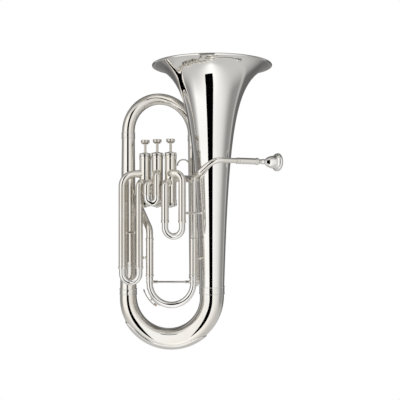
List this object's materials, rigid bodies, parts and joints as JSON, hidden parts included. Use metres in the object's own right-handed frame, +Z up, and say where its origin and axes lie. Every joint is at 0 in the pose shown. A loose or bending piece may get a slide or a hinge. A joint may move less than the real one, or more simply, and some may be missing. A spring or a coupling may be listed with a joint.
{
  "type": "baritone horn",
  "caption": "Upright bell brass horn with piston valves, a wrapped conical tube, pull-out tuning slides, a water key and a side mouthpiece.",
  "frame": {"origin": "lowest point of the guard under the bottom bow, below the bow's centre", "axes": "+Z up along the bell's axis towards its rim, +X from the outer branch towards the bell, +Y away from the side with the valve slides"},
  "size_m": [0.3154, 0.231, 0.5485],
  "materials": {
    "silver": "polished silver plate",
    "bright_silver": "mirror silver plate",
    "nickel": "polished nickel silver",
    "steel": "ground",
    "button": "polished silver plate",
    "cork": "matte cork"
  },
  "bodies": {
    "horn": {"bell": "bright_silver", "bottom_bow": "silver", "bow_guard": "nickel", "outer_branch": "silver", "top_bow": "silver", "rear_riser": "silver", "rear_bow": "silver", "bell_ferrule": "nickel", "branch_ferrule_lower": "nickel", "branch_ferrule_upper": "nickel", "top_bow_ferrule": "nickel", "first_valve_casing": "silver", "first_top_cap": "nickel", "first_bottom_cap": "nickel", "first_valve_spring": "steel", "second_valve_casing": "silver", "second_top_cap": "nickel", "second_bottom_cap": "nickel", "second_valve_spring": "steel", "third_valve_casing": "silver", "third_top_cap": "nickel", "third_bottom_cap": "nickel", "third_valve_spring": "steel", "knuckle_first_second": "silver", "knuckle_second_third": "silver", "first_sleeve_left": "silver", "first_sleeve_right": "silver", "second_sleeve_left": "silver", "second_sleeve_right": "silver", "third_sleeve_left": "silver", "third_sleeve_right": "silver", "leadpipe": "silver", "mouthpiece_receiver": "silver", "valve_exit_tube": "silver", "gooseneck": "silver", "tuning_sleeve_left": "silver", "tuning_sleeve_right": "silver", "third_slide_brace": "silver", "sleeve_brace": "silver", "first_slide_brace": "silver", "leadpipe_brace": "silver", "tuning_sleeve_brace": "silver", "branch_brace": "silver", "thumb_ring": "silver"},
    "first_valve": {"first_piston": "steel", "first_valve_button": "button"},
    "first_slide": {"first_slide_bow": "bright_silver"},
    "second_valve": {"second_piston": "steel", "second_valve_button": "button"},
    "second_slide": {"second_slide_bow": "bright_silver"},
    "third_valve": {"third_piston": "steel", "third_valve_button": "button"},
    "third_slide": {"third_slide_bow": "bright_silver"},
    "tuning_slide": {"tuning_slide_bow": "bright_silver", "tuning_slide_brace": "silver", "water_key_saddle": "silver", "water_key_spring": "steel"},
    "water_key": {"water_key_lever": "nickel", "water_key_cork": "cork"},
    "mouthpiece": {"mouthpiece": "bright_silver"}
  },
  "joints": [
    {"name": "first_valve_travel", "type": "slide", "parent": "horn", "child": "first_valve", "axis": [0, 0, -1], "range_m": [0, 0.016], "stiffness_N_per_m": 150, "springref_m": -0.015, "deforming": ["first_valve_spring"]},
    {"name": "second_valve_travel", "type": "slide", "parent": "horn", "child": "second_valve", "axis": [0, 0, -1], "range_m": [0, 0.016], "stiffness_N_per_m": 150, "springref_m": -0.015, "deforming": ["second_valve_spring"]},
    {"name": "third_valve_travel", "type": "slide", "parent": "horn", "child": "third_valve", "axis": [0, 0, -1], "range_m": [0, 0.016], "stiffness_N_per_m": 150, "springref_m": -0.015, "deforming": ["third_valve_spring"]},
    {"name": "first_slide_pull", "type": "slide", "parent": "horn", "child": "first_slide", "axis": [0, 0, -1], "range_m": [0, 0.04]},
    {"name": "second_slide_pull", "type": "slide", "parent": "horn", "child": "second_slide", "axis": [0, 0, -1], "range_m": [0, 0.008]},
    {"name": "third_slide_pull", "type": "slide", "parent": "horn", "child": "third_slide", "axis": [0, 0, -1], "range_m": [0, 0.06]},
    {"name": "tuning_slide_pull", "type": "slide", "parent": "horn", "child": "tuning_slide", "axis": [0, 0, -1], "range_m": [0, 0.035]},
    {"name": "water_key_hinge", "type": "hinge", "parent": "tuning_slide", "child": "water_key", "pos_m": [-0.03537, -0.024, 0.09792], "axis": [0, 1, 0], "range_deg": [0, 12], "stiffness_Nm_per_rad": 0.05, "springref_deg": -17.19},
    {"name": "mouthpiece_pull_out", "type": "slide", "parent": "horn", "child": "mouthpiece", "axis": [0.9127, 0.4085, -0.0118], "range_m": [0, 0.03]}
  ]
}
